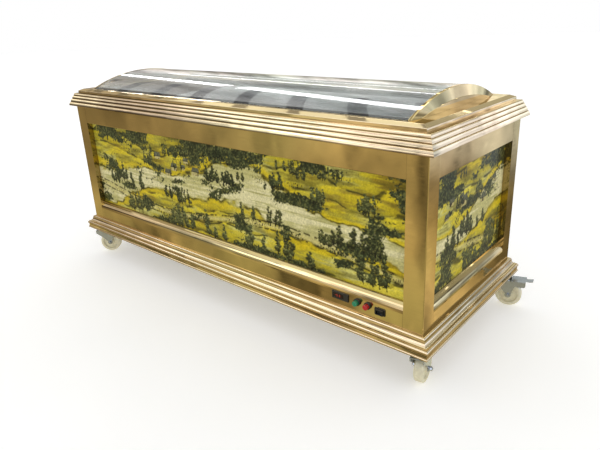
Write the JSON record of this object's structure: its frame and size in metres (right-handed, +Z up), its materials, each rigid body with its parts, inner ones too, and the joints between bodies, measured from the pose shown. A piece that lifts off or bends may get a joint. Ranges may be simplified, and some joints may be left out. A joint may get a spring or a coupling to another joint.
{
  "type": "refrigerated coffin",
  "caption": "Gold refrigerated display coffin: framed cabinet with picture panels and moulded base and cornice, clear vaulted lift-off lid, control buttons and braked swivel castors.",
  "frame": {"origin": "floor level, centred under the cabinet", "axes": "+X along the length towards the end with the controls, +Y from the control side to the back, +Z up"},
  "size_m": [2.4494, 0.8851, 1.0537],
  "materials": {
    "gold_mirror_steel": "gold-coated, mirror polished",
    "clear_acrylic": "clear, polished",
    "stainless_steel": "brushed",
    "picture_print": "printed picture under gloss",
    "black_plastic": "satin",
    "display_window": "gloss, dark red tint",
    "green_plastic": "gloss",
    "red_plastic": "gloss",
    "zinc_steel": "bright zinc plating",
    "cream_nylon": "moulded satin"
  },
  "bodies": {
    "cabinet": {"base_moulding": "gold_mirror_steel", "base_deck": "stainless_steel", "insulated_tub": "stainless_steel", "cornice": "gold_mirror_steel", "lid_frame": "gold_mirror_steel", "canopy": "clear_acrylic", "end_cap_left": "gold_mirror_steel", "end_cap_right": "gold_mirror_steel", "thermostat_case": "black_plastic", "thermostat_window": "display_window", "green_bezel": "black_plastic", "red_bezel": "black_plastic", "power_inlet": "black_plastic", "corner_post_front_left": "gold_mirror_steel", "corner_post_back_left": "gold_mirror_steel", "corner_post_front_right": "gold_mirror_steel", "corner_post_back_right": "gold_mirror_steel", "bottom_rail_front": "gold_mirror_steel", "bottom_rail_back": "gold_mirror_steel", "bottom_rail_right": "gold_mirror_steel", "bottom_rail_left": "gold_mirror_steel", "top_rail_front": "gold_mirror_steel", "top_rail_back": "gold_mirror_steel", "top_rail_right": "gold_mirror_steel", "top_rail_left": "gold_mirror_steel", "picture_panel_front": "picture_print", "picture_panel_back": "picture_print", "picture_panel_right": "picture_print", "picture_panel_left": "picture_print", "castor_plate_front_right": "zinc_steel", "castor_plate_back_right": "zinc_steel", "castor_plate_front_left": "zinc_steel", "castor_plate_back_left": "zinc_steel"},
    "green_push_button": {"green_button": "green_plastic"},
    "red_push_button": {"red_button": "red_plastic"},
    "swivel_front_right": {"castor_fork_front_right": "zinc_steel", "axle_bolt_front_right": "zinc_steel"},
    "wheel_front_right": {"castor_wheel_front_right": "cream_nylon"},
    "pedal_front_right": {"brake_pedal_front_right": "zinc_steel"},
    "swivel_back_right": {"castor_fork_back_right": "zinc_steel", "axle_bolt_back_right": "zinc_steel"},
    "wheel_back_right": {"castor_wheel_back_right": "cream_nylon"},
    "pedal_back_right": {"brake_pedal_back_right": "zinc_steel"},
    "swivel_front_left": {"castor_fork_front_left": "zinc_steel", "axle_bolt_front_left": "zinc_steel"},
    "wheel_front_left": {"castor_wheel_front_left": "cream_nylon"},
    "pedal_front_left": {"brake_pedal_front_left": "zinc_steel"},
    "swivel_back_left": {"castor_fork_back_left": "zinc_steel", "axle_bolt_back_left": "zinc_steel"},
    "wheel_back_left": {"castor_wheel_back_left": "cream_nylon"},
    "pedal_back_left": {"brake_pedal_back_left": "zinc_steel"}
  },
  "joints": [
    {"name": "green_button_press", "type": "slide", "parent": "cabinet", "child": "green_push_button", "axis": [0, 1, 0], "range_m": [0, 0.003], "stiffness_N_per_m": 300, "springref_m": -0.006},
    {"name": "red_button_press", "type": "slide", "parent": "cabinet", "child": "red_push_button", "axis": [0, 1, 0], "range_m": [0, 0.003], "stiffness_N_per_m": 300, "springref_m": -0.006},
    {"name": "swivel_front_right_turn", "type": "hinge", "parent": "cabinet", "child": "swivel_front_right", "pos_m": [1.082, -0.386, 0.1385], "axis": [0, 0, 1], "continuous": true},
    {"name": "wheel_front_right_spin", "type": "hinge", "parent": "swivel_front_right", "child": "wheel_front_right", "pos_m": [1.07505, -0.34661, 0.0585], "axis": [-0.9848, -0.1736, 0], "continuous": true},
    {"name": "pedal_front_right_press", "type": "hinge", "parent": "swivel_front_right", "child": "pedal_front_right", "pos_m": [1.07089, -0.32297, 0.1185], "axis": [-0.9848, -0.1736, 0], "range_deg": [0, 9]},
    {"name": "swivel_back_right_turn", "type": "hinge", "parent": "cabinet", "child": "swivel_back_right", "pos_m": [1.082, 0.386, 0.1385], "axis": [0, 0, 1], "continuous": true},
    {"name": "wheel_back_right_spin", "type": "hinge", "parent": "swivel_back_right", "child": "wheel_back_right", "pos_m": [1.12098, 0.395, 0.0585], "axis": [-0.225, 0.9744, 0], "continuous": true},
    {"name": "pedal_back_right_press", "type": "hinge", "parent": "swivel_back_right", "child": "pedal_back_right", "pos_m": [1.14436, 0.4004, 0.1185], "axis": [-0.225, 0.9744, 0], "range_deg": [0, 9]},
    {"name": "swivel_front_left_turn", "type": "hinge", "parent": "cabinet", "child": "swivel_front_left", "pos_m": [-1.082, -0.386, 0.1385], "axis": [0, 0, 1], "continuous": true},
    {"name": "wheel_front_left_spin", "type": "hinge", "parent": "swivel_front_left", "child": "wheel_front_left", "pos_m": [-1.05136, -0.36029, 0.0585], "axis": [-0.6428, 0.766, 0], "continuous": true},
    {"name": "pedal_front_left_press", "type": "hinge", "parent": "swivel_front_left", "child": "pedal_front_left", "pos_m": [-1.03297, -0.34486, 0.1185], "axis": [-0.6428, 0.766, 0], "range_deg": [0, 9]},
    {"name": "swivel_back_left_turn", "type": "hinge", "parent": "cabinet", "child": "swivel_back_left", "pos_m": [-1.082, 0.386, 0.1385], "axis": [0, 0, 1], "continuous": true},
    {"name": "wheel_back_left_spin", "type": "hinge", "parent": "swivel_back_left", "child": "wheel_back_left", "pos_m": [-1.12098, 0.395, 0.0585], "axis": [-0.225, -0.9744, 0], "continuous": true},
    {"name": "pedal_back_left_press", "type": "hinge", "parent": "swivel_back_left", "child": "pedal_back_left", "pos_m": [-1.14436, 0.4004, 0.1185], "axis": [-0.225, -0.9744, 0], "range_deg": [0, 9]}
  ]
}
